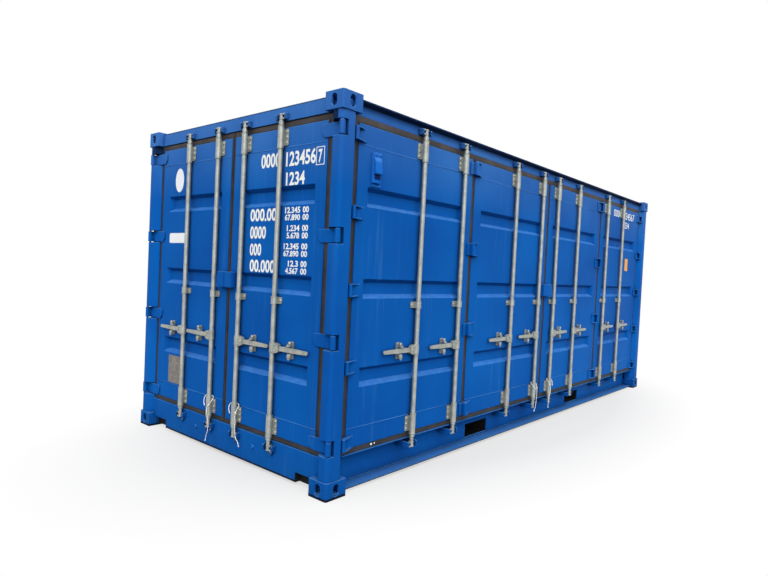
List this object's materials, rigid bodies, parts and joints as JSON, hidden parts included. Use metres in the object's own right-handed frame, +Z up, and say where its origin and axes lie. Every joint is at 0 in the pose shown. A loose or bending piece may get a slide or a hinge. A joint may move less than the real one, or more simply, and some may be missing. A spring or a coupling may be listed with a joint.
{
  "type": "shipping container",
  "caption": "Steel cargo box with two hinged end doors, a folding door side, upright lock rods, corner castings and fork pockets.",
  "frame": {"origin": "on the ground, under the middle of the container", "axes": "+X along the length towards the closed end, the end doors face -X and the folding side doors face -Y, +Z up"},
  "size_m": [6.0664, 2.4514, 2.591],
  "materials": {
    "back_bottom_rail": "satin paint",
    "back_top_rail": "satin paint",
    "back_wall": "satin paint",
    "cam_keepers": "satin paint",
    "cord_end_2": "twisted cord",
    "cord_end_3": "twisted cord",
    "cord_side_4": "twisted cord",
    "cord_side_5": "twisted cord",
    "corner_castings": "satin paint",
    "data_plate": "weathered",
    "door_header": "satin paint",
    "door_posts": "satin paint",
    "door_sill": "satin paint",
    "end_door_left": "satin paint",
    "end_door_right": "satin paint",
    "end_guides_left": "galvanised",
    "end_guides_right": "galvanised",
    "end_hinges_left": "satin paint",
    "end_hinges_right": "satin paint",
    "end_rod_1": "galvanised",
    "end_rod_2": "galvanised",
    "end_rod_3": "galvanised",
    "end_rod_4": "galvanised",
    "end_seal_left": "matt",
    "end_seal_right": "matt",
    "floor_beams": "satin paint",
    "floor_boards": "varnished plywood",
    "fork_tunnels": "satin paint",
    "front_bottom_rail": "satin paint",
    "front_posts": "satin paint",
    "front_top_rail": "satin paint",
    "front_wall": "satin paint",
    "hinge_pins": "plain",
    "lock_box_left": "satin paint",
    "lock_box_right": "satin paint",
    "lock_box_side": "satin paint",
    "pocket_frames": "satin paint",
    "roof": "satin paint",
    "side_bottom_rail": "satin paint",
    "side_door_1": "satin paint",
    "side_door_2": "satin paint",
    "side_door_3": "satin paint",
    "side_door_4": "satin paint",
    "side_guides": "galvanised",
    "side_hinges": "satin paint",
    "side_rod_1": "galvanised",
    "side_rod_2": "galvanised",
    "side_rod_3": "galvanised",
    "side_rod_4": "galvanised",
    "side_rod_5": "galvanised",
    "side_rod_6": "galvanised",
    "side_rod_7": "galvanised",
    "side_rod_8": "galvanised",
    "side_seal": "matt",
    "side_top_rail": "satin paint",
    "tunnel_walls": "satin paint",
    "vent_box": "satin paint"
  },
  "bodies": {
    "container": {"corner_castings": "corner_castings", "door_posts": "door_posts", "front_posts": "front_posts", "door_header": "door_header", "door_sill": "door_sill", "side_top_rail": "side_top_rail", "side_bottom_rail": "side_bottom_rail", "back_top_rail": "back_top_rail", "back_bottom_rail": "back_bottom_rail", "front_top_rail": "front_top_rail", "front_bottom_rail": "front_bottom_rail", "back_wall": "back_wall", "front_wall": "front_wall", "roof": "roof", "floor_boards": "floor_boards", "floor_beams": "floor_beams", "fork_tunnels": "fork_tunnels", "tunnel_walls": "tunnel_walls", "pocket_frames": "pocket_frames", "hinge_pins": "hinge_pins", "side_seal": "side_seal", "side_door_1": "side_door_1", "side_door_2": "side_door_2", "side_door_3": "side_door_3", "side_door_4": "side_door_4", "side_hinges": "side_hinges", "side_guides": "side_guides", "cam_keepers": "cam_keepers", "lock_box_side": "lock_box_side", "vent_box": "vent_box", "cord_side_4": "cord_side_4", "cord_side_5": "cord_side_5"},
    "end_leaf_left": {"end_door_left": "end_door_left", "end_seal_left": "end_seal_left", "end_hinges_left": "end_hinges_left", "end_guides_left": "end_guides_left", "lock_box_left": "lock_box_left", "data_plate": "data_plate", "cord_end_2": "cord_end_2"},
    "end_leaf_right": {"end_door_right": "end_door_right", "end_seal_right": "end_seal_right", "end_hinges_right": "end_hinges_right", "end_guides_right": "end_guides_right", "lock_box_right": "lock_box_right", "cord_end_3": "cord_end_3"},
    "end_rod_1": {"end_rod_1": "end_rod_1"},
    "end_rod_2": {"end_rod_2": "end_rod_2"},
    "end_rod_3": {"end_rod_3": "end_rod_3"},
    "end_rod_4": {"end_rod_4": "end_rod_4"},
    "side_rod_1": {"side_rod_1": "side_rod_1"},
    "side_rod_2": {"side_rod_2": "side_rod_2"},
    "side_rod_3": {"side_rod_3": "side_rod_3"},
    "side_rod_4": {"side_rod_4": "side_rod_4"},
    "side_rod_5": {"side_rod_5": "side_rod_5"},
    "side_rod_6": {"side_rod_6": "side_rod_6"},
    "side_rod_7": {"side_rod_7": "side_rod_7"},
    "side_rod_8": {"side_rod_8": "side_rod_8"}
  },
  "joints": [
    {"name": "end_leaf_left_swing", "type": "hinge", "parent": "container", "child": "end_leaf_left", "pos_m": [-3.005, 1.195, 1.346], "axis": [0, 0, -1], "range_deg": [0, 268]},
    {"name": "end_leaf_right_swing", "type": "hinge", "parent": "container", "child": "end_leaf_right", "pos_m": [-3.005, -1.195, 1.346], "axis": [0, 0, 1], "range_deg": [0, 264]},
    {"name": "end_rod_1_turn", "type": "hinge", "parent": "end_leaf_left", "child": "end_rod_1", "pos_m": [-2.999, 0.59, 0.906], "axis": [0, 0, -1], "range_deg": [-110, 0]},
    {"name": "end_rod_2_turn", "type": "hinge", "parent": "end_leaf_left", "child": "end_rod_2", "pos_m": [-2.999, 0.17, 0.906], "axis": [0, 0, -1], "range_deg": [-110, 0]},
    {"name": "end_rod_3_turn", "type": "hinge", "parent": "end_leaf_right", "child": "end_rod_3", "pos_m": [-2.999, -0.17, 0.906], "axis": [0, 0, 1], "range_deg": [-110, 0]},
    {"name": "end_rod_4_turn", "type": "hinge", "parent": "end_leaf_right", "child": "end_rod_4", "pos_m": [-2.999, -0.59, 0.906], "axis": [0, 0, 1], "range_deg": [-110, 0]},
    {"name": "side_rod_1_turn", "type": "hinge", "parent": "container", "child": "side_rod_1", "pos_m": [-2.14, -1.194, 0.906], "axis": [0, 0, -1], "range_deg": [-110, 0]},
    {"name": "side_rod_2_turn", "type": "hinge", "parent": "container", "child": "side_rod_2", "pos_m": [-1.598, -1.194, 0.906], "axis": [0, 0, -1], "range_deg": [-110, 0]},
    {"name": "side_rod_3_turn", "type": "hinge", "parent": "container", "child": "side_rod_3", "pos_m": [-0.718, -1.194, 0.906], "axis": [0, 0, -1], "range_deg": [-110, 0]},
    {"name": "side_rod_4_turn", "type": "hinge", "parent": "container", "child": "side_rod_4", "pos_m": [-0.177, -1.194, 0.906], "axis": [0, 0, -1], "range_deg": [-110, 0]},
    {"name": "side_rod_5_turn", "type": "hinge", "parent": "container", "child": "side_rod_5", "pos_m": [0.177, -1.194, 0.906], "axis": [0, 0, 1], "range_deg": [-110, 0]},
    {"name": "side_rod_6_turn", "type": "hinge", "parent": "container", "child": "side_rod_6", "pos_m": [0.718, -1.194, 0.906], "axis": [0, 0, 1], "range_deg": [-110, 0]},
    {"name": "side_rod_7_turn", "type": "hinge", "parent": "container", "child": "side_rod_7", "pos_m": [1.598, -1.194, 0.906], "axis": [0, 0, 1], "range_deg": [-110, 0]},
    {"name": "side_rod_8_turn", "type": "hinge", "parent": "container", "child": "side_rod_8", "pos_m": [2.14, -1.194, 0.906], "axis": [0, 0, 1], "range_deg": [-110, 0]}
  ]
}
